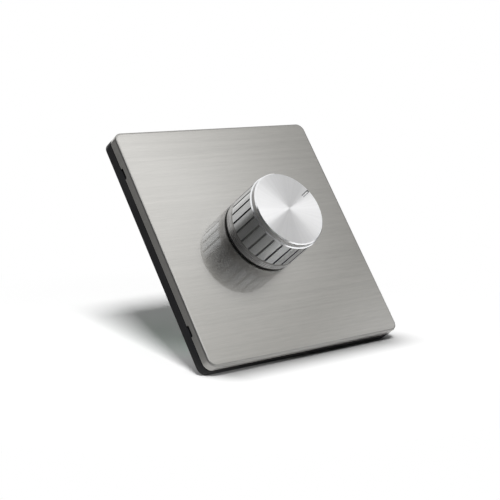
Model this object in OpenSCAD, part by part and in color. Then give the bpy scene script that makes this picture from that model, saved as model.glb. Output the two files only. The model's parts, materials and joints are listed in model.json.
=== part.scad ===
/* [Face plate] */
// Side of the square face plate
plate_w = 86; // [84:1:90]
// Height of the front face above the wall
plate_h = 6.9; // [6.6:0.1:9]
// Depth of the folded steel edge
return_d = 3.4; // [2.8:0.1:3.8]
// Corner radius of the plate, seen from the front
corner_r = 3; // [1.6:0.1:6]
// Thickness of the steel sheet
sheet_t = 0.8; // [0.5:0.1:1.2]
// Outside radius of the fold along the front edge
fold_r = 0.6; // [0.2:0.1:1]
// Width of a pry notch in the folded edge
notch_w = 4; // [2:0.5:8]
// Depth of a pry notch
notch_d = 1; // [0.5:0.1:1.5]
// Height of the pry notches above and below the middle of the plate
notch_y = 29; // [24:1:32]

/* [Panel carrier] */
// Thickness of the carrier behind the sheet
panel_t = 1.2; // [0.8:0.1:1.6]
// Thickness of the carrier's skirt
skirt_t = 1.5; // [1:0.1:2.2]
// Gap between the skirt and the folded edge
skirt_gap = 0.1; // [0.05:0.05:0.2]
// Width of a snap hook
hook_w = 6; // [4:0.5:9]
// Thickness of a snap hook's leg
hook_t = 1.2; // [0.8:0.1:1.6]
// Reach of a snap hook's barb
barb = 0.8; // [0.6:0.1:1]

/* [Base frame] */
// Width of the rim that meets the wall
rim_w = 4; // [3:0.5:5]
// Thickness of the floor inside the rim
floor_t = 1.6; // [1.2:0.1:2]
// Depth of the recess behind the floor
recess_d = 1; // [0.8:0.1:1.6]
// Dark gap between the folded edge and the rim
shadow_gap = 0.4; // [0.2:0.1:0.7]
// Distance between the two wall screws
screw_pitch = 60.3; // [58:0.1:62]
// Width of a wall screw slot
slot_w = 4.2; // [3.6:0.1:5]
// Length of a wall screw slot
slot_len = 7.5; // [6:0.1:9]
// Wall of the boss round a screw slot
boss_wall = 2; // [1.5:0.1:2.5]
// Thickness of the ribs behind the floor
rib_t = 1.2; // [0.8:0.1:1.6]
// Diameter of a rear post
post_d = 6.4; // [5:0.1:7.5]
// Depth of the pilot hole in a post
pilot_depth = 9; // [8:0.5:11]

/* [Knob] */
// Largest diameter of the knob
knob_d = 28.4; // [28:0.2:34]
// Height of the knob's top above the face plate
knob_h = 17.5; // [16:0.1:22]
// Gap between the knob and the face plate
knob_gap = 0.3; // [0.2:0.05:1.5]
// Thickness of the black flange under the cap
flange_h = 0.4; // [0.3:0.05:1.4]
// Distance from the flange's edge to the cap's edge
flange_inset = 0.15; // [0.05:0.05:0.4]
// Height of the plain band below the flutes
band_h = 3.7; // [1.5:0.1:4.5]
// Inward lean of the fluted side, from the band to the shoulder
side_lean = 0.1; // [0.05:0.05:0.8]
// Height of the top disc above the shoulder
disc_h = 1.9; // [1:0.1:2.5]
// Width of the shoulder round the top disc
shoulder_w = 0.4; // [0.4:0.05:1]
// Chamfer on the shoulder's edge
shoulder_chamfer = 0.35; // [0.1:0.05:0.35]
// Chamfer on the top disc and on the lower edge
edge_chamfer = 0.35; // [0.1:0.05:0.35]
// Number of flutes round the side
flute_count = 26; // [18:1:32]
// Width of a flute
flute_w = 0.6; // [0.3:0.1:1]
// Depth of a flute
flute_d = 0.5; // [0.2:0.05:0.6]
// Plain metal between the flutes and the shoulder's chamfer
flute_stop = 0.2; // [0.1:0.1:1.5]
// Turn of the first flute from three o'clock, in degrees
flute_turn = 1.7; // [0:0.1:20]
// Thickness of the cap's side behind the flutes
cap_wall = 1.5; // [1:0.1:2]
// Thickness of the cap's top
cap_t = 1.7; // [1:0.1:2.5]
// Clockwise turn of the pointer mark from twelve o'clock at rest
pointer_turn = 64; // [-150:1:150]
// Length of the pointer mark
pointer_len = 4.4; // [3:0.1:8]
// Width of the pointer mark
pointer_w = 1; // [0.6:0.1:2]
// Depth of the pointer mark
pointer_d = 0.4; // [0.2:0.05:0.8]
// Distance from the pointer mark to the disc's edge
pointer_inset = 0.4; // [0.4:0.1:2]
// Diameter of the hub inside the knob
hub_d = 9.6; // [8.6:0.2:11]
// Thickness of the ribs and the sleeve inside the knob
core_wall = 1.2; // [0.8:0.1:1.6]

/* [Rotary switch] */
// Diameter of the shaft
shaft_d = 6; // [5.6:0.1:6.4]
// Teeth on the knurled end of the shaft
knurl_teeth = 18; // [14:1:24]
// Depth of the knurl
knurl_d = 0.3; // [0.15:0.05:0.4]
// Width of the split in the shaft's end
split_w = 1; // [0.6:0.1:1.4]
// Diameter of the bushing
bush_d = 9; // [8.6:0.1:9.4]
// Height of the bushing above the face plate
bush_rise = 0.4; // [0.1:0.1:0.6]
// Width across the flats of the nut
nut_af = 12; // [11.5:0.5:13]
// Thickness of the nut
nut_t = 2; // [1.6:0.1:2.4]
// Thickness of the lock washer
washer_t = 0.5; // [0.3:0.1:0.7]
// Width of the switch's front plate
front_w = 24; // [23:0.5:28]
// Thickness of the switch's front plate
front_t = 2; // [1.5:0.1:2.5]
// Distance between the tie rivets
rivet_pitch = 29; // [28.5:0.5:33]
// Diameter of the rivets' spacers
spacer_d = 4; // [3:0.1:4.4]
// Diameter over the tips of the star wheel
star_d = 14.4; // [14:0.1:15]
// Thickness of the star wheel
star_t = 3; // [2.5:0.1:3.5]
// Valleys round the star wheel, one more than the contacts
valleys = 12; // [10:1:14]
// Diameter of a click ball
ball_d = 3; // [2.8:0.1:3.2]
// Thickness of the ring spring
spring_t = 0.3; // [0.2:0.05:0.4]
// Diameter of the stop pin
stop_d = 1.4; // [1:0.1:1.6]
// Thickness of the stop lug
lug_t = 1.3; // [1:0.1:1.8]
// Diameter of the contact wafer
wafer_d = 26; // [24:0.5:27]
// Thickness of the contact wafer
wafer_t = 1.6; // [1.2:0.1:2]
// Radius of the circle of contacts
contact_ring = 9.3; // [8.8:0.1:9.8]
// Diameter of a contact
contact_d = 2; // [1.6:0.1:2.4]
// Diameter of a contact pin
pin_d = 0.9; // [0.7:0.05:1]

/* [Circuit board] */
// Width of the board
board_w = 50; // [49:1:52]
// Height of the board
board_l = 65; // [64:1:66]
// Thickness of the board
board_t = 1.6; // [1.2:0.1:2]
// Gap between the board and the contact wafer
board_gap = 2.4; // [2:0.1:3.5]
// Distance from the board's edge to the screws
screw_inset = 3.8; // [3.5:0.1:4.5]
// Diameter of the board screws
screw_d = 2; // [1.8:0.1:2.4]
// Length of the board screws behind the head
screw_len = 8; // [6:0.5:8]

/* [Transformer] */
// Unit of the laminations, a sixth of the core's width
lam_unit = 4.7; // [4.4:0.1:5]
// Thickness of the stack of laminations
stack_t = 12.5; // [11:0.5:14]
// Drop of the transformer below the middle of the plate
core_drop = 7.4; // [6:0.2:9]
// Shift of the transformer to the right of the middle, seen from the front
core_shift = 7.5; // [7.3:0.1:8.2]
// Gap between the core and the board
core_gap = 2.2; // [2:0.1:3]
// Thickness of the bobbin's tube and flanges
bobbin_t = 0.9; // [0.6:0.1:1.1]
// Build of the wrapped winding
wind_t = 2.9; // [2.2:0.1:3]
// Thickness of the steel clip round the core
clip_t = 0.6; // [0.5:0.1:1]
// Distance between the transformer's pins
tap_pitch = 3.75; // [3:0.05:4]

/* [Terminal block] */
// Number of terminals
poles = 4; // [2:1:5]
// Distance between terminals
term_pitch = 5.08; // [4.8:0.04:5.4]
// Depth of the block from its wire side to its back
term_d = 8.2; // [7.8:0.1:9]
// Height of the block above the board
term_h = 10; // [9.5:0.1:12]
// Width of a wire entry
entry_w = 3.4; // [3:0.1:3.8]

/* [Hidden] */
$fn = 96;

// Clearances and small allowances, shared by everything that fits together
run_fit = 0.05;
slip_fit = 0.02;
loose_fit = 0.1;
turn_gap = 0.3;
cut = 1;

// Heights above the wall: the face plate, the carrier and the base frame
return_z = plate_h - return_d;
rim_z = return_z - shadow_gap;
sheet_z = plate_h - sheet_t;
panel_z = sheet_z - panel_t;
floor_z = recess_d + floor_t;
skirt_w = plate_w - 2 * (sheet_t + skirt_gap);
inner_w = plate_w - 2 * rim_w;

// Snap hooks: the barb reaches under the edge of its window in the floor
hook_side = 0.4;
hook_x = inner_w / 2 - hook_side - barb;
barb_z = recess_d - loose_fit;
barb_tip = 0.15;

// Nut and opening
washer_z = floor_z + washer_t;
nut_z = washer_z + nut_t;
nut_corner = nut_af / 2 / cos(30);
opening_r = nut_corner + 1.05;
washer_r = nut_corner + 0.6;
bush_z = plate_h + bush_rise;
bush_bore = shaft_d / 2 + run_fit;
key_d = 2;
key_y = -(nut_corner + 2.5);

// Switch layers, from the front plate back to the wafer
front_z = recess_d - front_t;
ring_wall = 0.65;
star_top = front_z - ring_wall - run_fit;
star_bottom = star_top - star_t;
ball_z = (star_top + star_bottom) / 2;
ball_bore = ball_d / 2 + run_fit;
ring_bottom = ball_z - max(ball_bore, star_t / 2) - ring_wall;
lug_top = ring_bottom - loose_fit;
lug_bottom = lug_top - lug_t;
rotor_t = 1;
rotor_z = lug_bottom - rotor_t;
wiper_t = 0.4;
wiper_z = rotor_z - wiper_t;
contact_z = wiper_z - loose_fit;
contact_t = 0.5;
wafer_z = contact_z - contact_t;
wafer_back = wafer_z - wafer_t;

// Click mechanism, radii from the shaft's axis
star_r = star_d / 2;
ball_r = star_r + loose_fit + ball_d / 2;
spring_r = ball_r + ball_d / 2 + slip_fit;
ring_in = star_r + 0.8;
ring_out = spring_r - turn_gap;
stop_r = (ring_in + ring_out) / 2;
lug_r = ring_out - 0.4;
step = 360 / valleys;
contacts = valleys - 1;
travel = step * (contacts - 1);
stop_half = asin(stop_d / 2 / stop_r);
stop_margin = 2;
lug_half = (360 - travel) / 2 - stop_half - stop_margin;
rest_turn = 2 * step;
spring_open = 40;

// Contacts: an inner ring shared by all positions and a button for each one
common_in = shaft_d / 2 + 1;
common_w = 1.8;
common_r = common_in + common_w / 2;
flat_w = 0.75 * shaft_d;
drive_r = shaft_d / 2 - loose_fit;
stub_r = shaft_d / 3;

// Front plate of the switch and the ribs beside it
front_h = rivet_pitch + 1.8 * spacer_d;
rib_x = front_w / 2 + turn_gap + rib_t / 2;
rib_y = front_h / 2 + turn_gap + rib_t / 2;

// Board, measured from the wafer
board_z = wafer_back - board_gap;
board_back = board_z - board_t;
screw_x = board_w / 2 - screw_inset;
screw_y = board_l / 2 - screw_inset;
screw_hole_r = screw_d / 2 + 0.3;
screw_head_r = screw_d * 1.2;
screw_head_t = screw_d * 0.75;
hole_gap = 0.1;
pin_r = pin_d / 2;
pin_end = 0.8;

// Transformer, six units of the lamination across and five deep
core_w = 6 * lam_unit;
core_z = board_back - core_gap;
bar_z = core_z - lam_unit;
leg_z = bar_z - slip_fit;
yoke_z = leg_z - 3 * lam_unit;
core_back = yoke_z - lam_unit;
tube_gap = 0.15;
tube_x = lam_unit + tube_gap + bobbin_t;
tube_y = stack_t / 2 + tube_gap + bobbin_t;
wind_x = tube_x + wind_t;
wind_y = tube_y + wind_t;
flange_lip = 0.25;
rail_z = board_back - pin_end - 0.4;
rail_in = stack_t / 2 + 0.3;
rail_out = wind_y + flange_lip;
rail_y = (rail_in + rail_out) / 2;
taps = 5;
rail_half = tap_pitch * (taps - 1) / 2 + 2;
clip_w = stack_t - 2;
tab_w = 3;

// Terminal block on the upper edge of the board
term_y = board_l / 2;
term_half = poles * term_pitch / 2 + 0.6;
entry_h = 3.6;
entry_floor = 2;
cage_wall = 0.5;
cage_w = entry_w - 0.1;
cage_h = entry_h - 0.1;
cage_l = 4;
cage_inset = 2;
cage_y = term_y - cage_inset - cage_l / 2;
cage_z = board_back - entry_floor;
well_r = 1.9;
clamp_head_r = 1.75;
clamp_head_t = 1.4;
clamp_r = 1.2;
clamp_sink = 1;

// Knob, heights above the wall and radii from its axis
knob_r = knob_d / 2;
flange_z = plate_h + knob_gap;
skirt_z = flange_z + flange_h;
band_z = skirt_z + band_h;
top_z = plate_h + knob_h;
shoulder_z = top_z - disc_h;
shoulder_r = knob_r - side_lean;
disc_r = shoulder_r - shoulder_w;
bore_r = shoulder_r - flute_d - cap_wall;
ceiling_z = top_z - cap_t;
flute_top = shoulder_z - shoulder_chamfer - flute_stop;
lean = atan(side_lean / (shoulder_z - shoulder_chamfer - band_z));

// Knob core and shaft
sleeve_r = bore_r - run_fit;
sleeve_top = band_z + (ceiling_z - band_z) * 0.5;
hub_r = hub_d / 2;
knurl_r = shaft_d / 2 - run_fit;
hub_clear = 1.6;
hub_top = ceiling_z - hub_clear;
hub_roof = 0.8;
tip_clear = 0.4;
shaft_top = hub_top - hub_roof - tip_clear;
clip_z = bush_z + loose_fit;
clip_h = 0.6;
clip_groove = 0.7 * shaft_d / 2;
clip_r = bush_d / 2 - loose_fit;
hub_z = clip_z + clip_h + turn_gap;
clip_clear = 1.4;
core_open_r = clip_r + clip_clear;
split_len = 0.6 * (shaft_top - hub_z);

// Turns plan coordinates, with z out of the wall, into the part's frame
module plan() {
  rotate([90, 0, 0]) children();
}

// Extrudes a flat outline between two heights
module slab(low, high) {
  translate([0, 0, low]) linear_extrude(high - low) children();
}

// Points a child from three o'clock to a clockwise angle from twelve o'clock
module clock(turn) {
  rotate([0, 0, 90 - turn]) children();
}

// Repeats a child at the four mirror places of one corner
module corners(x, y) {
  for (sx = [-1, 1], sy = [-1, 1]) {
    translate([sx * x, sy * y, 0]) children();
  }
}

module rounded_rect(w, h, r) {
  square([w, h - 2 * r], center = true);
  square([w - 2 * r, h], center = true);
  corners(w / 2 - r, h / 2 - r) circle(r);
}

module ring(outer, inner) {
  difference() {
    circle(outer);
    circle(inner);
  }
}

// A slot with round ends, along x
module round_slot(length, width) {
  square([length - width, width], center = true);
  for (side = [-1, 1]) {
    translate([side * (length - width) / 2, 0]) circle(width / 2);
  }
}

// Section through a folded edge with its outer corner rolled over
module fold_profile(r, fold, low, high) {
  translate([0, low]) square([r, high - fold - low]);
  translate([0, low]) square([r - fold, high - low]);
  translate([r - fold, high - fold]) intersection() {
    circle(fold);
    square(fold);
  }
}

// A square block with round corners and a rolled front edge
module folded_block(w, r, fold, low, high) {
  middle = w - 2 * r;
  slab(low, high) square(middle, center = true);
  for (side = [0:3]) {
    rotate(90 * side) translate([middle / 2, middle / 2, 0]) {
      rotate_extrude(angle = 90) fold_profile(r, fold, low, high);
      rotate([90, 0, 0]) linear_extrude(middle) fold_profile(r, fold, low, high);
    }
  }
}

// Shaft section with two flats, used for the shaft and for what it drives
module flatted(r, across) {
  intersection() {
    circle(r);
    square([2 * r, across], center = true);
  }
}

// Tooth tips and roots of a knurl, in turn
function knurl_points(tip, root, teeth) = [
  for (k = [0:2 * teeth - 1])
    let (a = 180 * k / teeth, r = k % 2 == 0 ? tip : root) [r * cos(a), r * sin(a)]
];

// Clockwise angle of each contact
function contact_turn(k) = k * step - travel / 2;

// Repeats a child over each contact
module at_contacts() {
  for (k = [0:contacts - 1]) {
    clock(contact_turn(k)) translate([contact_ring, 0, 0]) children();
  }
}

// Moves a child from the shaft's axis to the transformer's
module at_core() {
  translate([core_shift, -core_drop, 0]) children();
}

// Repeats a child over each transformer pin
module at_taps() {
  for (k = [0:taps - 1], side = [-1, 1]) {
    at_core() translate([(k - (taps - 1) / 2) * tap_pitch, side * rail_y, 0]) children();
  }
}

// Repeats a child over each terminal
module at_poles() {
  for (k = [0:poles - 1]) {
    translate([(k - (poles - 1) / 2) * term_pitch, cage_y, 0]) children();
  }
}

module face_plate() {
  color("silver") plan() difference() {
    folded_block(plate_w, corner_r, fold_r, return_z, plate_h);
    slab(return_z - cut, sheet_z) rounded_rect(
      plate_w - 2 * sheet_t, plate_w - 2 * sheet_t, corner_r - sheet_t);
    slab(return_z, plate_h + cut) circle(opening_r);
    corners(plate_w / 2, notch_y) translate([0, 0, return_z])
      cube([4 * sheet_t, notch_w, 2 * notch_d], center = true);
  }
}

// One snap hook, its barb pointing along x
module snap_hook() {
  translate([hook_x, hook_w / 2, 0]) rotate([90, 0, 0]) linear_extrude(hook_w) polygon([
    [-hook_t, panel_z], [-hook_t, barb_tip], [0, barb_tip], [barb, barb_z - 0.3],
    [barb, barb_z], [0, barb_z], [0, panel_z]
  ]);
}

module panel_carrier() {
  color("dimgray") plan() {
    difference() {
      slab(rim_z, sheet_z) rounded_rect(skirt_w, skirt_w, corner_r - sheet_t);
      slab(rim_z - cut, panel_z) rounded_rect(
        skirt_w - 2 * skirt_t, skirt_w - 2 * skirt_t, (corner_r - sheet_t) / 2);
      slab(rim_z, sheet_z + cut) circle(opening_r);
    }
    for (side = [0, 180], height = [-1, 1]) {
      translate([0, height * notch_y, 0]) rotate([0, 0, side]) snap_hook();
    }
  }
}

// Window in the floor for one snap hook
module hook_window() {
  translate([hook_x - hook_t - 0.3, -hook_w / 2 - turn_gap, 0])
    square([hook_t + 0.5, hook_w + 2 * turn_gap]);
}

// Two pairs of ribs that cross behind the floor, outside the switch's front plate
module back_ribs() {
  for (side = [-1, 1]) {
    translate([side * rib_x, 0]) square([rib_t, inner_w], center = true);
    translate([0, side * rib_y]) square([inner_w, rib_t], center = true);
  }
}

module base_frame() {
  color([0.12, 0.12, 0.13]) plan() difference() {
    union() {
      slab(0, rim_z) difference() {
        rounded_rect(plate_w, plate_w, corner_r);
        rounded_rect(inner_w, inner_w, corner_r / 2);
      }
      slab(recess_d, floor_z) rounded_rect(inner_w, inner_w, corner_r / 2);
      for (side = [-1, 1]) {
        slab(0, recess_d) translate([side * screw_pitch / 2, 0])
          round_slot(slot_len + 2 * boss_wall, slot_w + 2 * boss_wall);
      }
      slab(0, recess_d) back_ribs();
      slab(board_z, recess_d) corners(screw_x, screw_y) circle(post_d / 2);
    }
    for (side = [-1, 1]) {
      slab(-cut, floor_z + cut) translate([side * screw_pitch / 2, 0]) round_slot(slot_len, slot_w);
    }
    for (side = [0, 180], height = [-1, 1]) {
      slab(-cut, floor_z + cut) translate([0, height * notch_y]) rotate(side) hook_window();
    }
    slab(-cut, floor_z + cut) circle(bush_d / 2 + loose_fit);
    slab(-cut, floor_z + cut) translate([0, key_y]) circle(key_d / 2 + loose_fit);
    slab(board_z - cut, board_z + pilot_depth) corners(screw_x, screw_y) circle(screw_d / 2 + slip_fit);
  }
}

module switch_bushing() {
  color("darkgray") plan() difference() {
    union() {
      slab(front_z, recess_d) rounded_rect(front_w, front_h, spacer_d * 0.8);
      slab(recess_d, bush_z) circle(bush_d / 2);
      slab(recess_d, floor_z) translate([0, key_y]) circle(key_d / 2);
    }
    slab(front_z - cut, bush_z + cut) circle(bush_bore);
    for (side = [-1, 1]) {
      slab(front_z - cut, recess_d + cut) translate([0, side * rivet_pitch / 2])
        circle(spacer_d / 4 + slip_fit);
    }
  }
}

module lock_washer() {
  teeth = 12;
  color("lightgray") plan() slab(floor_z, washer_z) difference() {
    ring(washer_r, bush_d / 2 + loose_fit);
    for (k = [0:teeth - 1]) {
      rotate(360 / teeth * k) translate([bush_d / 2, 0]) square([bush_d / 4, 0.6], center = true);
    }
  }
}

module switch_nut() {
  color("lightgray") plan() difference() {
    intersection() {
      slab(washer_z, nut_z) circle(nut_corner, $fn = 6);
      translate([0, 0, washer_z]) cylinder(
        r1 = nut_corner + nut_t, r2 = nut_af / 2 + 0.2, h = nut_t);
    }
    slab(washer_z - cut, nut_z + cut) circle(bush_d / 2 + slip_fit);
  }
}

module index_ring() {
  color([0.85, 0.82, 0.72]) plan() difference() {
    slab(ring_bottom, front_z) ring(ring_out, ring_in);
    for (side = [-1, 1]) {
      translate([side * ball_r, 0, ball_z]) rotate([0, 90, 0])
        cylinder(r = ball_bore, h = 2 * ball_d, center = true);
    }
    slab(ring_bottom - cut, ring_bottom + 2) clock(180) translate([stop_r, 0])
      circle(stop_d / 2 + slip_fit);
  }
}

module detent_balls() {
  color("white") plan() for (side = [-1, 1]) {
    translate([side * ball_r, 0, ball_z]) sphere(d = ball_d);
  }
}

module detent_spring() {
  color("gainsboro") plan() translate([0, 0, ball_z - star_t / 2])
    rotate([0, 0, 90 + spring_open / 2])
      rotate_extrude(angle = 360 - spring_open) translate([spring_r, 0]) square([spring_t, star_t]);
}

module stop_pin() {
  color("gray") plan() slab(lug_bottom + slip_fit, ring_bottom + 2) clock(180)
    translate([stop_r, 0]) circle(stop_d / 2);
}

module wafer_outline() {
  circle(wafer_d / 2);
  for (side = [-1, 1]) {
    translate([0, side * rivet_pitch / 2]) circle(spacer_d * 0.8);
    translate([0, side * rivet_pitch / 4]) square([spacer_d * 1.6, rivet_pitch / 2], center = true);
  }
}

module stator_wafer() {
  color("saddlebrown") plan() slab(wafer_back, wafer_z) difference() {
    wafer_outline();
    circle(stub_r + run_fit);
    for (side = [-1, 1]) {
      translate([0, side * rivet_pitch / 2]) circle(spacer_d / 4 + slip_fit);
    }
  }
}

module stator_contacts() {
  color("gold") plan() slab(wafer_z, contact_z) {
    ring(common_in + common_w, common_in);
    at_contacts() circle(contact_d / 2);
  }
}

module switch_pins() {
  color("gold") plan() slab(board_back - pin_end, wafer_back) {
    at_contacts() circle(pin_r);
    clock(180) translate([common_r, 0]) circle(pin_r);
  }
}

module tie_rivets() {
  color("lightgray") plan() for (side = [-1, 1]) {
    translate([0, side * rivet_pitch / 2, 0]) {
      slab(wafer_back, recess_d) circle(spacer_d / 4);
      slab(wafer_z, front_z) circle(spacer_d / 2);
      slab(wafer_back - spacer_d / 5, wafer_back) circle(spacer_d / 2);
    }
  }
}

module circuit_board() {
  color([0.13, 0.35, 0.2]) plan() slab(board_back, board_z) difference() {
    rounded_rect(board_w, board_l, screw_inset / 2);
    corners(screw_x, screw_y) circle(screw_hole_r);
    at_contacts() circle(pin_r + hole_gap);
    clock(180) translate([common_r, 0]) circle(pin_r + hole_gap);
    at_taps() circle(pin_r + hole_gap);
    at_poles() circle(pin_r + hole_gap);
    for (side = [-1, 1]) {
      at_core() translate([side * (core_w + clip_t) / 2, 0])
        square([clip_t + 2 * hole_gap, tab_w + 2 * hole_gap], center = true);
    }
  }
}

module board_screws() {
  low = board_back - screw_head_t;
  color("lightgray") plan() corners(screw_x, screw_y) difference() {
    union() {
      slab(board_back, board_back + screw_len) circle(screw_d / 2);
      slab(low + screw_head_t / 2, board_back) circle(screw_head_r);
      translate([0, 0, low]) cylinder(r1 = screw_head_r * 0.75, r2 = screw_head_r, h = screw_head_t / 2);
    }
    for (turn = [0, 90]) {
      slab(low - cut, low + screw_head_t / 2) rotate(turn)
        square([screw_d * 1.2, screw_d / 4], center = true);
    }
  }
}

module core_e() {
  color("slategray") plan() at_core() difference() {
    slab(core_back, leg_z) square([core_w, stack_t], center = true);
    for (side = [-1, 1]) {
      slab(yoke_z, leg_z + cut) translate([side * 1.5 * lam_unit, 0])
        square([lam_unit, stack_t + cut], center = true);
    }
  }
}

module core_i() {
  color("slategray") plan() at_core() slab(bar_z, core_z) square([core_w, stack_t], center = true);
}

module coil_bobbin() {
  high = leg_z - loose_fit;
  low = yoke_z + loose_fit;
  color([0.15, 0.15, 0.16]) plan() at_core() difference() {
    union() {
      slab(low, high) square([2 * tube_x, 2 * tube_y], center = true);
      for (base = [low, high - bobbin_t]) {
        slab(base, base + bobbin_t)
          rounded_rect(2 * (wind_x + flange_lip), 2 * (wind_y + flange_lip), bobbin_t);
      }
      for (side = [-1, 1]) {
        slab(high - bobbin_t, rail_z) translate([0, side * rail_y])
          square([2 * rail_half, rail_out - rail_in], center = true);
      }
    }
    slab(low - cut, rail_z + cut)
      square([2 * (lam_unit + tube_gap), stack_t + 2 * tube_gap], center = true);
  }
}

module coil_winding() {
  color("goldenrod") plan() at_core()
    slab(yoke_z + loose_fit + bobbin_t, leg_z - loose_fit - bobbin_t) difference() {
      rounded_rect(2 * wind_x, 2 * wind_y, wind_t);
      square([2 * tube_x, 2 * tube_y], center = true);
    }
}

module core_clip() {
  color("lightsteelblue") plan() at_core() {
    difference() {
      slab(core_back - clip_t, board_back) square([core_w + 2 * clip_t, clip_w], center = true);
      slab(core_back, board_back + cut) square([core_w, clip_w + cut], center = true);
    }
    for (side = [-1, 1]) {
      slab(board_back, board_z + pin_end) translate([side * (core_w + clip_t) / 2, 0])
        square([clip_t, tab_w], center = true);
    }
  }
}

module transformer_pins() {
  color("gainsboro") plan() slab(rail_z, board_z + pin_end) at_taps() circle(pin_r);
}

// Section through the terminal block, wire side to the right, board at the bottom
module term_profile() {
  polygon([
    [term_y - term_d, 0], [term_y, 0], [term_y, term_h * 0.65], [term_y - 1, term_h],
    [term_y - term_d + 1.4, term_h], [term_y - term_d, term_h * 0.7]
  ]);
}

module terminal_block() {
  color("seagreen") plan() difference() {
    translate([-term_half, 0, board_back]) mirror([0, 0, 1]) rotate([90, 0, 90])
      linear_extrude(2 * term_half) term_profile();
    at_poles() {
      translate([-entry_w / 2, -cage_l / 2, cage_z - entry_h])
        cube([entry_w, cage_l + cage_inset + cut, entry_h]);
      slab(board_back - term_h - cut, cage_z) circle(well_r);
      slab(cage_z - cut, board_back + cut) circle(pin_r + slip_fit);
    }
  }
}

module terminal_cages() {
  low = cage_z - cage_h;
  color("gold") plan() at_poles() difference() {
    slab(low, cage_z) square([cage_w, cage_l], center = true);
    slab(low + cage_wall, cage_z - cage_wall) square([cage_w - 2 * cage_wall, cage_l + cut], center = true);
    slab(low - cut, low + 2 * cage_wall) circle(clamp_r + slip_fit);
  }
}

module terminal_screws() {
  low = cage_z - entry_h - clamp_head_t;
  color("lightgray") plan() at_poles() difference() {
    union() {
      slab(low, low + clamp_head_t) circle(clamp_head_r);
      slab(low, cage_z - cage_h + clamp_sink) circle(clamp_r);
    }
    slab(low - cut, low + clamp_head_t / 2) square([2 * well_r, 0.6], center = true);
  }
}

module terminal_pins() {
  color("gainsboro") plan() slab(cage_z, board_z + pin_end) at_poles() circle(pin_r);
}

// Half section of the turned cap
module cap_profile() {
  polygon([
    [0, ceiling_z], [0, top_z], [disc_r - edge_chamfer, top_z], [disc_r, top_z - edge_chamfer],
    [disc_r, shoulder_z], [shoulder_r - shoulder_chamfer, shoulder_z],
    [shoulder_r, shoulder_z - shoulder_chamfer], [knob_r, band_z], [knob_r, skirt_z + edge_chamfer],
    [knob_r - edge_chamfer, skirt_z], [bore_r, skirt_z], [bore_r, ceiling_z]
  ]);
}

module knob_cap() {
  pointer_r = disc_r - pointer_inset - pointer_len / 2;
  color("whitesmoke") plan() difference() {
    rotate_extrude() cap_profile();
    for (k = [0:flute_count - 1]) {
      rotate([0, 0, flute_turn + k * 360 / flute_count])
        translate([knob_r - flute_d, -flute_w / 2, band_z]) rotate([0, -lean, 0])
          cube([3 * flute_d, flute_w, flute_top - band_z]);
    }
    slab(top_z - pointer_d, top_z + cut) clock(pointer_turn) translate([pointer_r, 0])
      round_slot(pointer_len, pointer_w);
  }
}

// One rib from the hub side to the sleeve, down to a given height
module core_rib(low, start) {
  slab(low, sleeve_top - core_wall) translate([start, -core_wall / 2])
    square([sleeve_r - core_wall / 2 - start, core_wall]);
}

module knob_core() {
  ribs = 6;
  color([0.1, 0.1, 0.11]) plan() difference() {
    union() {
      slab(flange_z, skirt_z) ring(knob_r - flange_inset, core_open_r);
      slab(skirt_z, sleeve_top) ring(sleeve_r, sleeve_r - core_wall);
      slab(hub_z, hub_top) circle(hub_r);
      for (k = [0:ribs - 1]) {
        rotate(360 / ribs * k) {
          core_rib(hub_z, hub_r / 2);
          core_rib(min(hub_z, skirt_z), core_open_r);
        }
      }
    }
    slab(hub_z - cut, hub_top - hub_roof) clock(pointer_turn)
      polygon(knurl_points(knurl_r + run_fit, knurl_r - knurl_d + run_fit, knurl_teeth));
  }
}

module switch_shaft() {
  color("silver") plan() difference() {
    union() {
      slab(hub_z - turn_gap / 2, shaft_top) clock(pointer_turn)
        polygon(knurl_points(knurl_r, knurl_r - knurl_d, knurl_teeth));
      slab(clip_z + clip_h + slip_fit, hub_z - turn_gap / 2) circle(shaft_d / 2);
      slab(clip_z - slip_fit, clip_z + clip_h + slip_fit) circle(clip_groove);
      slab(front_z, clip_z - slip_fit) circle(shaft_d / 2);
      slab(rotor_z, front_z) clock(rest_turn) flatted(drive_r, flat_w);
      slab(wafer_back, rotor_z) circle(stub_r);
    }
    slab(shaft_top - split_len, shaft_top + cut) clock(pointer_turn)
      square([2 * shaft_d, split_w], center = true);
  }
}

module shaft_clip() {
  clip_open = 80;
  color("gray") plan() clock(rest_turn) translate([0, 0, clip_z]) rotate([0, 0, clip_open / 2])
    rotate_extrude(angle = 360 - clip_open)
      translate([clip_groove + slip_fit, 0]) square([clip_r - clip_groove - slip_fit, clip_h]);
}

// Bore that the flats of the shaft drive
module drive_bore() {
  clock(rest_turn) flatted(drive_r + slip_fit, flat_w + 2 * slip_fit);
}

module index_star() {
  scallop_r = 0.63 * ball_d;
  scallop_at = star_r + 0.4 * ball_d;
  hub = star_r - 1.2;
  color("ivory") plan() difference() {
    union() {
      slab(star_bottom, star_top) difference() {
        circle(star_r);
        for (k = [0:valleys - 1]) {
          rotate(k * step) translate([scallop_at, 0]) circle(scallop_r);
        }
      }
      slab(star_top, front_z - loose_fit) circle(hub - 1);
      slab(lug_bottom, star_bottom) circle(hub - 1);
      clock(rest_turn) rotate([0, 0, -lug_half]) translate([0, 0, lug_bottom])
        rotate_extrude(angle = 2 * lug_half) translate([shaft_d / 2 + 1, 0])
          square([lug_r - shaft_d / 2 - 1, lug_t]);
    }
    slab(lug_bottom - cut, front_z) drive_bore();
  }
}

module wiper_rotor() {
  color([0.1, 0.1, 0.11]) plan() slab(rotor_z, lug_bottom) difference() {
    union() {
      circle(common_in + common_w + 0.4);
      clock(rest_turn) translate([contact_ring / 2, 0]) round_slot(contact_ring + 4, 4);
    }
    drive_bore();
  }
}

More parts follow.
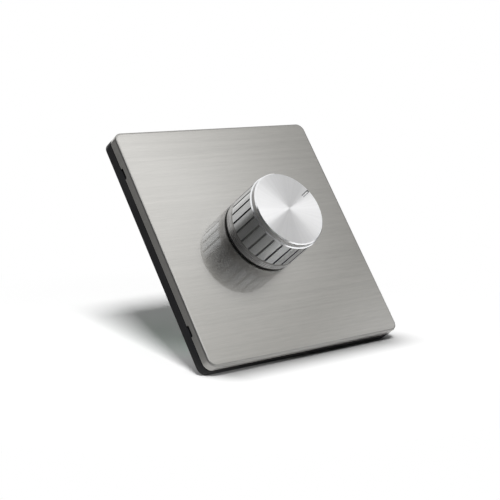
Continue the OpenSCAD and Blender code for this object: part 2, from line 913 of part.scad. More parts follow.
module wiper_contact() {
  color("gold") plan() slab(wiper_z, rotor_z) difference() {
    union() {
      circle(common_in + common_w);
      clock(rest_turn) translate([contact_ring / 2, 0]) round_slot(contact_ring + contact_d, contact_d);
    }
    circle(common_in);
  }
}

face_plate();
panel_carrier();
base_frame();
switch_bushing();
lock_washer();
switch_nut();
index_ring();
detent_balls();
detent_spring();
stop_pin();
stator_wafer();
stator_contacts();
switch_pins();
tie_rivets();
circuit_board();
board_screws();
core_e();
core_i();
coil_bobbin();
coil_winding();
core_clip();
transformer_pins();
terminal_block();
terminal_cages();
terminal_screws();
terminal_pins();
knob_cap();
knob_core();
switch_shaft();
shaft_clip();
index_star();
wiper_rotor();
wiper_contact();
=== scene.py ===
# %% [markdown]
# # A wall volume control
# The real object is a square steel plate on a black moulded frame, with one turned aluminium knob in
# its middle. A rotary switch, a board, a small transformer and a terminal block sit behind it.
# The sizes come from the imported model, so each piece made here starts by asking that model where it is.

import json
import math

import bmesh
import bpy
from mathutils import Matrix, Vector


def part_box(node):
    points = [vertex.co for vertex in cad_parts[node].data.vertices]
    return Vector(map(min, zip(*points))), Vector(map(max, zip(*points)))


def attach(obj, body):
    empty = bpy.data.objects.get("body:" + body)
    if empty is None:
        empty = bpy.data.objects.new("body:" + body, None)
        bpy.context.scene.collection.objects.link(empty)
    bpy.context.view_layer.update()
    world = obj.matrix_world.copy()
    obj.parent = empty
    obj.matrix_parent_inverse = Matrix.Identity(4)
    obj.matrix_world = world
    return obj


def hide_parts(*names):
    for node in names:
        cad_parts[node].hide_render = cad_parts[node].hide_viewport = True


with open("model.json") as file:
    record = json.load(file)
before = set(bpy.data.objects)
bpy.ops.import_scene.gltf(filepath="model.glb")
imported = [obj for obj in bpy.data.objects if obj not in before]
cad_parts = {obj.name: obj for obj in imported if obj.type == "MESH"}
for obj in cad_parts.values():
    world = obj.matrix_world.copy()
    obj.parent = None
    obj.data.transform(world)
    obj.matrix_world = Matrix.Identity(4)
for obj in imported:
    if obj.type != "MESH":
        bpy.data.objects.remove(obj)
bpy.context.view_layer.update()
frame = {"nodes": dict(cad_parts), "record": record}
MM = 0.001
body_of_node = {}
for body_name, members in frame["record"]["behaviour"]["bodies"].items():
    for member in members:
        body_of_node[member] = body_name

# %% [markdown]
# ## Helpers for meshes
# Every piece ends as a plain mesh that sits at the origin, because the export bakes it there. Doubled
# points are merged and the faces turned outwards before the smooth shading is set, and edges sharper than
# a chosen angle keep a hard line, as on a machined part.

# %% Mesh helpers
MERGE = 0.002 * MM


def merged_shell(mesh):
    shell = bmesh.new()
    shell.from_mesh(mesh)
    bmesh.ops.remove_doubles(shell, verts=shell.verts, dist=MERGE)
    return shell


def keep_shell(shell, mesh):
    bmesh.ops.recalc_face_normals(shell, faces=shell.faces)
    shell.to_mesh(mesh)
    shell.free()


def tidy_mesh(mesh):
    keep_shell(merged_shell(mesh), mesh)


def finished_mesh(shell, name):
    mesh = bpy.data.meshes.new(name)
    keep_shell(shell, mesh)
    return mesh


def soften(mesh, sharp_angle):
    mesh.polygons.foreach_set("use_smooth", [True] * len(mesh.polygons))
    mesh.set_sharp_from_angle(angle=math.radians(sharp_angle))


def loose_object(name, data):
    made = bpy.data.objects.new(name, data)
    bpy.context.scene.collection.objects.link(made)
    return made


def evaluated_mesh(made):
    depsgraph = bpy.context.evaluated_depsgraph_get()
    return bpy.data.meshes.new_from_object(made.evaluated_get(depsgraph))


def fit_piece(name, mesh, slot_name, *nodes):
    piece = loose_object(name, mesh)
    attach(piece, body_of_node[nodes[0]])
    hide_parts(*nodes)
    print(name, "stands for", ", ".join(nodes), "with", len(mesh.polygons), "faces")


# %% [markdown]
# ## Helpers for materials
# A finish is a node tree. These helpers add a node and give each of its sockets a number or another node's
# output, so that each finish below reads as a short list. Effects that finishes share become node groups.

# %% Node helpers
MEASURES = ("LENGTH", "DISTANCE", "DOT_PRODUCT")


def give(tree, entry, value):
    if isinstance(value, bpy.types.NodeSocket):
        tree.links.new(value, entry)
    else:
        entry.default_value = value


def add_node(tree, kind, settings=None, *values, **sockets):
    made = tree.nodes.new(kind)
    for setting, value in (settings or {}).items():
        setattr(made, setting, value)
    for entry, value in zip(made.inputs, values):
        give(tree, entry, value)
    for label, value in sockets.items():
        give(tree, made.inputs[label.replace("_", " ")], value)
    return made


def maths(tree, operation, *values):
    return add_node(tree, "ShaderNodeMath", {"operation": operation}, *values).outputs[0]


def vector_maths(tree, operation, *values, **sockets):
    made = add_node(tree, "ShaderNodeVectorMath", {"operation": operation}, *values, **sockets)
    return made.outputs["Value" if operation in MEASURES else "Vector"]


def axes(tree, vector):
    return add_node(tree, "ShaderNodeSeparateXYZ", None, vector).outputs


def map_range(tree, value, start=0, end=1, kind="LINEAR", **limits):
    return add_node(tree, "ShaderNodeMapRange", {"interpolation_type": kind}, Value=value, From_Min=start,
                    From_Max=end, **limits).outputs["Result"]


# %% Finish helpers


def tone_ramp(tree, share, stops):
    ramp = add_node(tree, "ShaderNodeValToRGB", Fac=share)
    while len(ramp.color_ramp.elements) < len(stops):
        ramp.color_ramp.elements.new(0.5)
    for element, (place, colour) in zip(ramp.color_ramp.elements, stops):
        element.position = place
        element.color = (*colour, 1)
    return ramp.outputs["Color"]


def object_place(tree):
    return add_node(tree, "ShaderNodeTexCoord").outputs["Object"]


def place_group(tree, group, **sockets):
    return add_node(tree, "ShaderNodeGroup", {"node_tree": group}, **sockets).outputs


def shader_of(finish):
    return finish.node_tree.nodes["Principled BSDF"]


def new_finish(name, **sockets):
    finish = bpy.data.materials.new(name)
    finish.use_nodes = True
    for label, value in sockets.items():
        shader_of(finish).inputs[label.replace("_", " ")].default_value = value
    return finish


def dress(finish, tone, gloss, height, bump, depth):
    tree = finish.node_tree
    ridge = add_node(tree, "ShaderNodeBump", Strength=bump, Distance=depth, Height=height)
    for label, value in (("Base Color", tone), ("Roughness", gloss), ("Normal", ridge.outputs["Normal"])):
        give(tree, shader_of(finish).inputs[label], value)


# %% [markdown]
# ## Grain, lathe marks and moulded skin
# Brushing and turning both leave fine lines: long along the tool's path and narrow across it. A noise
# texture stretched by a different frequency on each axis gives such lines. On a lathe the path is a circle,
# so a second group first turns a position into a direction round the axis and a distance along the tool's
# feed. The direction is kept as two numbers instead of one angle, which leaves no seam. The third group
# gives moulded plastic its fine skin and a slow mottle.

# %% Grain lines and lathe path
BROAD = 0.07


def new_group(name, entries, results, kind="ShaderNodeTree"):
    group = bpy.data.node_groups.new(name, kind)
    for label, socket, *default in entries:
        made = group.interface.new_socket(label, in_out="INPUT", socket_type="NodeSocket" + socket)
        if default:
            made.default_value = default[0]
    for label, socket in results:
        group.interface.new_socket(label, in_out="OUTPUT", socket_type="NodeSocket" + socket)
    return group, group.nodes.new("NodeGroupInput").outputs, group.nodes.new("NodeGroupOutput").inputs


def noise(tree, vector, scale, detail, roughness):
    return add_node(tree, "ShaderNodeTexNoise", Vector=vector, Scale=scale, Detail=detail,
                    Roughness=roughness).outputs[0]


grain_lines, entry, result = new_group(
    "grain_lines",
    [("Vector", "Vector", (0, 0, 0)), ("Frequency", "Vector", (1, 1, 1))],
    [("Lines", "Float"), ("Cloud", "Float")],
)
stretched = vector_maths(grain_lines, "MULTIPLY", entry["Vector"], entry["Frequency"])
broad = vector_maths(grain_lines, "SCALE", stretched, Scale=BROAD)
lines = noise(grain_lines, stretched, scale=1, detail=5, roughness=0.62)
give(grain_lines, result["Lines"], map_range(grain_lines, lines, 0.3, 0.7))
give(grain_lines, result["Cloud"], noise(grain_lines, broad, scale=1, detail=3, roughness=0.5))

lathe_path, entry, result = new_group("lathe_path", [("Vector", "Vector", (0, 0, 0))], [("Path", "Vector")])
flat = vector_maths(lathe_path, "MULTIPLY", entry["Vector"], (1, 0, 1))
radius = vector_maths(lathe_path, "LENGTH", flat)
tool_feed = maths(lathe_path, "ADD", radius, axes(lathe_path, entry["Vector"])["Y"])
around = axes(lathe_path, vector_maths(lathe_path, "NORMALIZE", flat))
path = add_node(lathe_path, "ShaderNodeCombineXYZ", None, around["X"], tool_feed, around["Z"])
give(lathe_path, result["Path"], path.outputs["Vector"])
print("made the groups", grain_lines.name, "and", lathe_path.name)

# %% Moulded skin
moulded_skin, entry, result = new_group(
    "moulded_skin",
    [("Vector", "Vector", (0, 0, 0)), ("Grain", "Float", 3000)],
    [("Skin", "Float"), ("Mottle", "Float")],
)
skin = noise(moulded_skin, entry["Vector"], scale=entry["Grain"], detail=2, roughness=0.6)
mottle = noise(moulded_skin, entry["Vector"], scale=90, detail=3, roughness=0.5)
give(moulded_skin, result["Skin"], skin)
give(moulded_skin, result["Mottle"], mottle)
print("node groups:", [group.name for group in bpy.data.node_groups])

# %% [markdown]
# ## Brushed stainless steel
# The face of the plate is ground along its width. Each scratch blurs reflections across itself, so the
# shader is anisotropic: its tangent runs up the plate, which is the way the highlight spreads. The lines
# also change the tone and the roughness a little, and a faint bump breaks up the highlight. Between the
# scratches the sheet is still smooth, so a clear coat adds the faint sharp image of the knob that lies in
# the haze. The bend at the edge was never brushed like that and takes a plainer, darker finish.

# %% Steel finish
LINE_DEPTH = 0.02 * MM


def line_metal(name, path_group, frequency, dark, light, smooth, rough, bump, **sockets):
    finish = new_finish(name, Metallic=1, **sockets)
    tree = finish.node_tree
    place = object_place(tree)
    if path_group:
        place = place_group(tree, path_group, Vector=place)["Path"]
    grain = place_group(tree, grain_lines, Vector=place, Frequency=frequency)
    half_cloud = maths(tree, "MULTIPLY", grain["Cloud"], 0.5)
    blend = maths(tree, "MULTIPLY_ADD", grain["Lines"], 0.5, half_cloud)
    tone = tone_ramp(tree, blend, [(0.15, dark), (0.85, light)])
    gloss = map_range(tree, grain["Lines"], To_Min=smooth, To_Max=rough)
    dress(finish, tone, gloss, grain["Lines"], bump, LINE_DEPTH)
    return finish


steel_face = line_metal(
    "brushed_stainless", None, (160, 700, 14000), (0.405, 0.395, 0.367), (0.555, 0.54, 0.505),
    0.28, 0.36, 0.02, Anisotropic=0.6, Coat_Weight=1, Coat_Roughness=0.05, Coat_IOR=2.25,
)
up_the_plate = add_node(steel_face.node_tree, "ShaderNodeCombineXYZ", Z=1)
give(steel_face.node_tree, shader_of(steel_face).inputs["Tangent"], up_the_plate.outputs["Vector"])
steel_fold = line_metal("folded_stainless", None, (30, 700, 3600), (0.34, 0.335, 0.32), (0.42, 0.415, 0.40),
                        0.32, 0.40, 0.03)
print("made", steel_face.name, "and", steel_fold.name)

# %% [markdown]
# ## Turned aluminium
# The knob was turned on a lathe, so its lines are circles round the shaft. The top was faced with a coarse
# tool and shows the bow-tie of light that every spun metal shows, with a few fine rays in it. The side was
# cut with a finer tool and is closer to a mirror. The band at the foot has coarser lines, the sawn flutes
# are dull and their dark tone is painted shade for the narrow grooves, and the two chamfers were cut with a
# diamond and flash. The tangent points outwards on the top and along the axis on the side, and one sum of
# the outward direction and the axis gives both, because only the part in the surface counts.

# %% Aluminium finishes
TURNED = (1.0, 5200, 1.0)


def lathe_tangent(finish):
    tree = finish.node_tree
    flat = vector_maths(tree, "MULTIPLY", object_place(tree), (1, 0, 1))
    outwards = vector_maths(tree, "NORMALIZE", flat)
    give(tree, shader_of(finish).inputs["Tangent"], vector_maths(tree, "ADD", outwards, (0, 1, 0)))


def add_rays(finish, count, dim, full):
    tree = finish.node_tree
    tone = shader_of(finish).inputs["Base Color"]
    path = place_group(tree, lathe_path, Vector=object_place(tree))["Path"]
    rays = place_group(tree, grain_lines, Vector=path, Frequency=(count, 0, count))["Lines"]
    gain = map_range(tree, rays, To_Min=dim, To_Max=full)
    give(tree, tone, vector_maths(tree, "SCALE", tone.links[0].from_socket, Scale=gain))


spun_top = line_metal(
    "spun_aluminium_top", lathe_path, (0.8, 6000, 0.8), (0.92, 0.92, 0.925), (0.95, 0.95, 0.955),
    0.275, 0.285, 0.002, Anisotropic=1.0,
)
turned_side = line_metal(
    "turned_aluminium_side", lathe_path, TURNED, (0.69, 0.71, 0.74), (0.80, 0.82, 0.85),
    0.10, 0.18, 0.05, Anisotropic=0.6,
)
turned_band = line_metal(
    "turned_band", lathe_path, (1.0, 1500, 1.0), (0.30, 0.30, 0.305), (0.60, 0.60, 0.605),
    0.14, 0.22, 0.15, Anisotropic=0.6,
)
for finish in (spun_top, turned_side, turned_band):
    lathe_tangent(finish)
add_rays(spun_top, 10, 0.95, 1.03)
# The flutes' finish is dull like a sawn cut, and its dark tone is painted shade for the grooves and the
# slot's walls.
flute_painted_shade = line_metal("sawn_flute_painted_shade", None, (900, 900, 900), (0.20, 0.20, 0.205), (0.30, 0.30, 0.305),
                         0.38, 0.5, 0.05)
step_wall = line_metal("turned_step", lathe_path, TURNED, (0.46, 0.46, 0.465), (0.56, 0.56, 0.565),
                       0.30, 0.40, 0.05)
cut_chamfer = line_metal("diamond_cut_chamfer", lathe_path, TURNED, (0.84, 0.85, 0.86), (0.90, 0.91, 0.92),
                         0.04, 0.07, 0.005)
aluminium = (turned_side, spun_top, flute_painted_shade, step_wall, turned_band, cut_chamfer)
print("made", [finish.name for finish in aluminium])

# %% [markdown]
# ## Moulded plastics
# A mould is spark-eroded to a fine grain, which the plastic copies. A small bump and a varied gloss give
# that grain, and a slow noise varies the tone as the melt's flow does.

# %% Plastic finishes
SKIN_DEPTH = 0.03 * MM


def moulded(name, dark, light, smooth, rough, grain=3000, bump=0.2, **sockets):
    finish = new_finish(name, **sockets)
    tree = finish.node_tree
    surface = place_group(tree, moulded_skin, Vector=object_place(tree), Grain=grain)
    tone = tone_ramp(tree, surface["Mottle"], [(0.3, dark), (0.7, light)])
    gloss = map_range(tree, surface["Skin"], To_Min=smooth, To_Max=rough)
    dress(finish, tone, gloss, surface["Skin"], bump, SKIN_DEPTH)
    return finish


black_moulding = moulded("black_moulding", (0.009, 0.009, 0.010), (0.014, 0.014, 0.015), 0.36, 0.55,
                         Specular_IOR_Level=0.3)
acetal = moulded("natural_acetal", (0.78, 0.75, 0.66), (0.86, 0.83, 0.74), 0.3, 0.45, 1500, 0.1)
terminal_green = moulded("terminal_plastic", (0.035, 0.24, 0.11), (0.055, 0.31, 0.15), 0.3, 0.45, 2200, 0.12)
phenolic = moulded("phenolic_sheet", (0.20, 0.085, 0.035), (0.33, 0.15, 0.065), 0.35, 0.5, 900, 0.15)
board_green = moulded("board_laminate", (0.02, 0.13, 0.06), (0.03, 0.19, 0.085), 0.22, 0.34, 1400, 0.08)
tape = moulded("winding_tape", (0.58, 0.36, 0.04), (0.74, 0.50, 0.07), 0.18, 0.3, 500, 0.1)
print("made six plastics")

# %% [markdown]
# ## Small metals
# The hidden pieces are zinc castings, plated steel, spring steel, brass and stacked core sheets.

# %% Small metal finishes
cast_zinc = line_metal("cast_zinc", None, (900, 900, 900), (0.42, 0.42, 0.42), (0.54, 0.54, 0.535),
                       0.40, 0.58, 0.25)
plated_steel = line_metal("plated_steel", None, (300, 300, 300), (0.64, 0.64, 0.625), (0.68, 0.68, 0.665),
                          0.26, 0.31, 0.01)
spring_steel = line_metal("spring_steel", None, (60, 1500, 60), (0.46, 0.46, 0.465), (0.58, 0.58, 0.585),
                          0.16, 0.28, 0.05)
contact_brass = line_metal("contact_brass", None, (400, 400, 400), (0.66, 0.48, 0.19), (0.80, 0.62, 0.28),
                           0.20, 0.34, 0.05)
core_sheets = line_metal("core_laminations", None, (25, 25, 2000), (0.12, 0.12, 0.125), (0.26, 0.26, 0.265),
                         0.32, 0.5, 0.4)
print("made five small metals")

# %% [markdown]
# ## The face plate
# The real plate is a flat sheet with its four edges folded back round a small radius. It is built here
# from rounded squares stacked along the fold's section, each bridged to the next, so the fold has a true
# round that catches the light. The flat face is filled between the last square and the hole. The pry
# notches are then cut with a boolean, as a punch would cut them.

# %% Section of the fold
plate_low, plate_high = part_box("face_plate")
half_plate = plate_high.x
front_y = plate_low.y
return_y = plate_high.y
hole_r = min(math.hypot(point.co.x, point.co.z) for point in frame["nodes"]["face_plate"].data.vertices)
SHEET = 0.8 * MM
FOLD = 0.6 * MM
CORNER = 3.0 * MM
LEAST_CORNER = 0.3 * MM
FACE_BORDER = 0.3 * MM
BURR = 0.08 * MM
CORNER_STEPS = 12
FOLD_STEPS = 6
HOLE_STEPS = 96


def rounded_square(inset, y):
    half = half_plate - inset
    bend = max(CORNER - inset, LEAST_CORNER)
    points = []
    for quarter in range(4):
        middle = math.radians(45 + 90 * quarter)
        centre_x = math.copysign(half - bend, math.cos(middle))
        centre_z = math.copysign(half - bend, math.sin(middle))
        for step in range(CORNER_STEPS + 1):
            angle = math.radians(90 * quarter + 90 * step / CORNER_STEPS)
            points.append((centre_x + bend * math.cos(angle), y, centre_z + bend * math.sin(angle)))
    return points


fold_section = [(BURR, return_y), (0, return_y - BURR)]
for step in range(FOLD_STEPS + 1):
    angle = math.radians(90 * step / FOLD_STEPS)
    fold_section.append((FOLD * (1 - math.cos(angle)), front_y + FOLD * (1 - math.sin(angle))))
fold_section.append((FOLD + FACE_BORDER, front_y))
inner_section = [(BURR, return_y), (SHEET - BURR, return_y), (SHEET, return_y - BURR)]
inner_section.append((SHEET, front_y + SHEET))
print("fold drawn with", len(fold_section), "levels outside and", len(inner_section), "inside")

# %% Steel plate


def circle(shell, r, y, steps):
    angles = [math.tau * step / steps for step in range(steps)]
    return [shell.verts.new((r * math.cos(angle), y, r * math.sin(angle))) for angle in angles]


def bridge(shell, rings):
    for ring, after in zip(rings, rings[1:]):
        for index in range(len(ring)):
            beside = (index + 1) % len(ring)
            shell.faces.new((ring[index], ring[beside], after[beside], after[index]))


def stack_loops(shell, section):
    rings = [[shell.verts.new(point) for point in rounded_square(*level)] for level in section]
    bridge(shell, rings)
    return rings[-1]


def ring_edges(shell, ring):
    pairs = zip(ring, ring[1:] + ring[:1])
    return [shell.edges.get(pair) or shell.edges.new(pair) for pair in pairs]


shell = bmesh.new()
outer_ring = stack_loops(shell, fold_section)
inner_ring = stack_loops(shell, inner_section)
front_hole = circle(shell, hole_r, front_y, HOLE_STEPS)
back_hole = circle(shell, hole_r, front_y + SHEET, HOLE_STEPS)
for around, hole in ((outer_ring, front_hole), (inner_ring, back_hole)):
    edges = ring_edges(shell, around) + ring_edges(shell, hole)
    bmesh.ops.triangle_fill(shell, use_beauty=True, edges=edges, normal=(0, -1, 0))
bridge(shell, [front_hole, back_hole])
plate_mesh = finished_mesh(shell, "steel_plate")
tidy_mesh(plate_mesh)
print("plate before its notches:", len(plate_mesh.polygons), "faces")

# %% Pry notches
NOTCH_W = 4.0 * MM
NOTCH_D = 1.0 * MM
NOTCH_Z = 29.0 * MM
NOTCH_ROUND = 0.5 * MM
NOTCH_REACH = 2.0 * MM
ROUND_STEPS = 4
SLACK = 0.01 * MM
HARD_CUT = 32


def carve(mesh, cutter_mesh):
    blank = loose_object("blank", mesh)
    cutter = loose_object("cutter", cutter_mesh)
    cut = blank.modifiers.new("cut", "BOOLEAN")
    cut.operation = "DIFFERENCE"
    cut.solver = "EXACT"
    cut.object = cutter
    carved = evaluated_mesh(blank)
    bpy.data.objects.remove(blank)
    bpy.data.objects.remove(cutter)
    return carved


def notch_cutter(middle_z):
    shell = bmesh.new()
    bmesh.ops.create_cube(shell, size=1)
    for point in shell.verts:
        point.co = Vector((
            point.co.x * 2 * (half_plate + NOTCH_REACH),
            return_y + point.co.y * 2 * NOTCH_D,
            middle_z + point.co.z * NOTCH_W,
        ))
    floor_edges = [edge for edge in shell.edges if all(point.co.y < return_y for point in edge.verts)
                   and abs(edge.verts[0].co.x - edge.verts[1].co.x) > MM]
    bmesh.ops.bevel(shell, geom=floor_edges, offset=NOTCH_ROUND, segments=ROUND_STEPS, profile=0.5,
                    affect="EDGES")
    return finished_mesh(shell, "notch")


for middle_z in (NOTCH_Z, -NOTCH_Z):
    plate_mesh = carve(plate_mesh, notch_cutter(middle_z))
tidy_mesh(plate_mesh)
soften(plate_mesh, HARD_CUT)
plate_mesh.materials.clear()
plate_mesh.materials.append(steel_face)
plate_mesh.materials.append(steel_fold)
for face in plate_mesh.polygons:
    face.material_index = int(front_y + SLACK < face.center.y < front_y + SHEET - SLACK)
fit_piece("steel_plate", plate_mesh, "brushed_stainless", "face_plate")

# %% [markdown]
# ## The knob's cap
# The cap is the same slice twenty-six times over: a land, a flute, and the stepped top. One slice is made
# as a mesh and a Geometry Nodes tree turns copies of it round the shaft and welds their seams. That keeps
# every flute alike and lets one number change their count. The chamfers are drawn in the profile itself.

# %% Sizes of the cap
cap_low, cap_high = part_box("knob_cap")
knob_r = cap_high.x
cap_top = cap_low.y
cap_foot = cap_high.y
FLUTES = 26
FLUTE_W = 0.6 * MM
FLUTE_D = 0.5 * MM
FLUTE_TURN = 1.7
FLUTE_STOP = 0.2 * MM
BAND = 3.7 * MM
LEAN = 0.1 * MM
DISC = 1.9 * MM
SHOULDER = 0.4 * MM
SHOULDER_CHAMFER = 0.35 * MM
EDGE = 0.35 * MM
BAND_LINES = 3
BAND_LINE = 0.1 * MM
BAND_LINE_PITCH = 0.75 * MM
CAP_WALL = 1.5 * MM
CAP_TOP = 1.7 * MM
TOP_BORDER = 0.6 * MM
TOP_RINGS = (0.6, 0.2, 0)
LAND_STEPS = 4
STEEP = 0.05 * MM
band_y = cap_foot - BAND
shoulder_y = cap_top + DISC
flute_y = shoulder_y + SHOULDER_CHAMFER + FLUTE_STOP
disc_r = knob_r - LEAN - SHOULDER
bore_r = knob_r - LEAN - FLUTE_D - CAP_WALL
print("knob radius", round(knob_r / MM, 2), "mm and disc radius", round(disc_r / MM, 2), "mm")

# %% Profile of the cap


def side_r(y):
    return knob_r - LEAN * max(0.0, min(1.0, (band_y - y) / (band_y - shoulder_y)))


profile = [(0, cap_top + CAP_TOP), (bore_r, cap_top + CAP_TOP), (bore_r, cap_foot)]
profile += [(knob_r - EDGE, cap_foot), (knob_r, cap_foot - EDGE)]
for line in range(1, BAND_LINES + 1):
    line_y = cap_foot - EDGE - line * BAND_LINE_PITCH
    profile += [(knob_r, line_y + BAND_LINE), (knob_r - BAND_LINE, line_y), (knob_r, line_y - BAND_LINE)]
for level in (band_y, band_y - STEEP, flute_y + STEEP, flute_y, shoulder_y + SHOULDER_CHAMFER):
    profile.append((side_r(level), level))
profile += [(side_r(shoulder_y) - SHOULDER_CHAMFER, shoulder_y), (disc_r, shoulder_y)]
profile += [(disc_r, cap_top + EDGE), (disc_r - EDGE, cap_top), (disc_r - TOP_BORDER, cap_top)]
profile += [(share * disc_r, cap_top) for share in TOP_RINGS]
print("profile of the cap has", len(profile), "points")

# %% One slice of the cap
pitch = math.tau / FLUTES
flute_half = FLUTE_W / 2 / disc_r
lip = STEEP / disc_r
land = (pitch / 2 - flute_half - lip) / LAND_STEPS
columns = [-pitch / 2 + land * step for step in range(LAND_STEPS)]
columns += [-flute_half - lip, -flute_half, flute_half, flute_half + lip]
columns += [pitch / 2 - land * step for step in reversed(range(LAND_STEPS))]


def slice_point(r, y, angle):
    if abs(angle) < flute_half + lip / 2 and flute_y + MERGE < y < band_y - MERGE and r > bore_r + MM:
        r -= FLUTE_D
    return (r * math.cos(angle), y, r * math.sin(angle))


points = [slice_point(r, y, angle) for r, y in profile for angle in columns]
width = len(columns)
faces = []
for row in range(len(profile) - 1):
    for column in range(width - 1):
        corner = row * width + column
        faces.append((corner, corner + 1, corner + width + 1, corner + width))
slice_mesh = bpy.data.meshes.new("cap_slice")
slice_mesh.from_pydata(points, [], faces)
print("one slice of the cap:", len(faces), "faces,", len(profile), "rows by", width, "columns")

# %% Tree of turned copies


def real_copies(group, points, shape, **sockets):
    copies = add_node(group, "GeometryNodeInstanceOnPoints", Points=points, Instance=shape, **sockets)
    real = add_node(group, "GeometryNodeRealizeInstances", Geometry=copies.outputs["Instances"])
    return real.outputs["Geometry"]


def give_dressed(group, result, shape, finish):
    dressed = add_node(group, "GeometryNodeSetMaterial", Geometry=shape, Material=finish)
    give(group, result["Geometry"], dressed.outputs["Geometry"])


turned_copies, entry, result = new_group(
    "turned_copies",
    [("Geometry", "Geometry"), ("Count", "Int"), ("Start", "Float"), ("Weld", "Float"),
     ("Finish", "Material")],
    [("Geometry", "Geometry")],
    "GeometryNodeTree",
)
stations = add_node(turned_copies, "GeometryNodeMeshLine", Count=entry["Count"], Offset=(0, 0, 0))
index = add_node(turned_copies, "GeometryNodeInputIndex").outputs["Index"]
step = maths(turned_copies, "DIVIDE", math.tau, entry["Count"])
angle = maths(turned_copies, "MULTIPLY_ADD", index, step, entry["Start"])
turn = add_node(turned_copies, "ShaderNodeCombineXYZ", Y=angle)
slices = real_copies(turned_copies, stations.outputs["Mesh"], entry["Geometry"],
                     Rotation=turn.outputs["Vector"])
welded = add_node(turned_copies, "GeometryNodeMergeByDistance", Geometry=slices, Distance=entry["Weld"])
give_dressed(turned_copies, result, welded.outputs["Geometry"], entry["Finish"])
print("tree", turned_copies.name, "has", len(turned_copies.nodes), "nodes")

# %% Slices turned round the shaft


def copies_mesh(mesh, group, **values):
    pattern = loose_object("pattern", mesh)
    copies = pattern.modifiers.new("copies", "NODES")
    copies.node_group = group
    for socket in group.interface.items_tree:
        if socket.in_out == "INPUT" and socket.name in values:
            copies[socket.identifier] = values[socket.name]
    whole = evaluated_mesh(pattern)
    bpy.data.objects.remove(pattern)
    return whole


cap_mesh = copies_mesh(slice_mesh, turned_copies, Count=FLUTES, Start=-math.radians(FLUTE_TURN), Weld=MERGE,
                       Finish=turned_side)
tidy_mesh(cap_mesh)
print("welded cap:", len(cap_mesh.polygons), "faces")

# %% [markdown]
# ## The pointer mark
# A short slot near the edge of the top shows where the knob points. It is cut with a ball-ended cutter
# after the slices are welded, because it breaks the knob's symmetry. Then each face takes a finish, mostly
# the
# one its tool would leave: where a face lies and which way it looks tell whether it belongs to the top, a
# chamfer, a step, a flute or the band. The slot's floor shines like the top, and its two steep walls take the
# flutes' dark finish as painted shade, so the mark shows as a pair of thin lines.

# %% Pointer slot
POINTER_TURN = 64
POINTER_LEN = 4.4 * MM
POINTER_W = 1.0 * MM
POINTER_D = 0.4 * MM
POINTER_INSET = 0.4 * MM
END_STEPS = 16


def pointer_cutter():
    groove_r = (POINTER_W * POINTER_W / 4 + POINTER_D * POINTER_D) / (2 * POINTER_D)
    far = disc_r - POINTER_INSET - POINTER_W / 2
    near = far - POINTER_LEN + POINTER_W
    shell = bmesh.new()
    bmesh.ops.create_uvsphere(shell, u_segments=2 * END_STEPS, v_segments=END_STEPS, radius=groove_r)
    turn = Matrix.Rotation(math.radians(POINTER_TURN - 90), 4, "Y")
    for point in shell.verts:
        shift = far if point.co.x > 0 else near
        point.co = turn @ (point.co + Vector((shift, cap_top + POINTER_D - groove_r, 0)))
    return finished_mesh(shell, "pointer")


cap_mesh = carve(cap_mesh, pointer_cutter())
tidy_mesh(cap_mesh)
print("cap with its pointer slot:", len(cap_mesh.polygons), "faces")

# %% Six finishes on the cap
SKIM = 0.02 * MM
NEAR = 0.1 * MM
BORE_CLEAR = 0.5 * MM
FACED = 0.9
GROOVE_FLOOR = 0.85
CHAMFER_LEAST = 0.6
CHAMFER_MOST = 0.8


def cap_finish(face):
    y = face.center.y
    spread = math.hypot(face.center.x, face.center.z)
    front = -face.normal.y
    if y < cap_top + SKIM and front > FACED:
        return spun_top
    if CHAMFER_LEAST < front < CHAMFER_MOST and spread > disc_r - EDGE and y < flute_y:
        return cut_chamfer
    # the slot's floor shines like the top, and its steep walls take the flutes' painted shade
    if cap_top + SKIM < y < cap_top + POINTER_D + NEAR and spread < disc_r - EDGE:
        return spun_top if front > GROOVE_FLOOR else flute_painted_shade
    if cap_top + EDGE < y < shoulder_y and spread > disc_r - NEAR:
        return step_wall
    # the floors of the flutes take the painted shade finish
    if flute_y < y < band_y and bore_r + BORE_CLEAR < spread < side_r(y) - NEAR:
        return flute_painted_shade
    if y > band_y and spread > knob_r - NEAR:
        return turned_band
    return turned_side


cap_mesh.materials.clear()
for finish in aluminium:
    cap_mesh.materials.append(finish)
for face in cap_mesh.polygons:
    face.material_index = aluminium.index(cap_finish(face))
soften(cap_mesh, HARD_CUT)
fit_piece("turned_cap", cap_mesh, "spun_aluminium", "knob_cap")

# %% [markdown]
# ## Softened edges on the rest
# No moulded, cast or punched edge is perfectly sharp, and a small round is what makes an edge catch the
# light. Each remaining node is copied, its triangles are merged into whole faces, and the edges that turn
# more than a set angle get a small bevel. A face that meets all its neighbours at a clear angle is a flat
# one and is shaded flat, which keeps broad faces free of streaks. The copy stands for the node, which is
# never changed.

# %% Rounded copies of the hidden pieces
SAME_FACE = math.radians(1)
EASE_ABOVE = math.radians(30)
EASE_STEPS = 2
HARD_EASED = 40
EVEN = math.radians(0.5)
FLAT = math.radians(18)


def is_bent(face):
    return any(EVEN < edge.calc_face_angle(math.pi) < FLAT for edge in face.edges)


def eased_copy(node, slot_name, finish, ease):
    shell = merged_shell(frame["nodes"][node].data)
    bmesh.ops.dissolve_limit(shell, angle_limit=SAME_FACE, verts=shell.verts, edges=shell.edges,
                             delimit={"NORMAL"})
    corners = [edge for edge in shell.edges if edge.is_manifold and edge.calc_face_angle(0) > EASE_ABOVE]
    bmesh.ops.bevel(shell, geom=corners, offset=ease, segments=EASE_STEPS, profile=0.5, affect="EDGES",
                    clamp_overlap=True, loop_slide=True)
    bmesh.ops.remove_doubles(shell, verts=shell.verts, dist=MERGE)
    bent = [is_bent(face) for face in shell.faces]
    mesh = bpy.data.meshes.new(node + "_eased")
    shell.to_mesh(mesh)
    shell.free()
    soften(mesh, HARD_EASED)
    mesh.polygons.foreach_set("use_smooth", bent)
    mesh.materials.append(finish)
    fit_piece(node + "_eased", mesh, slot_name, node)


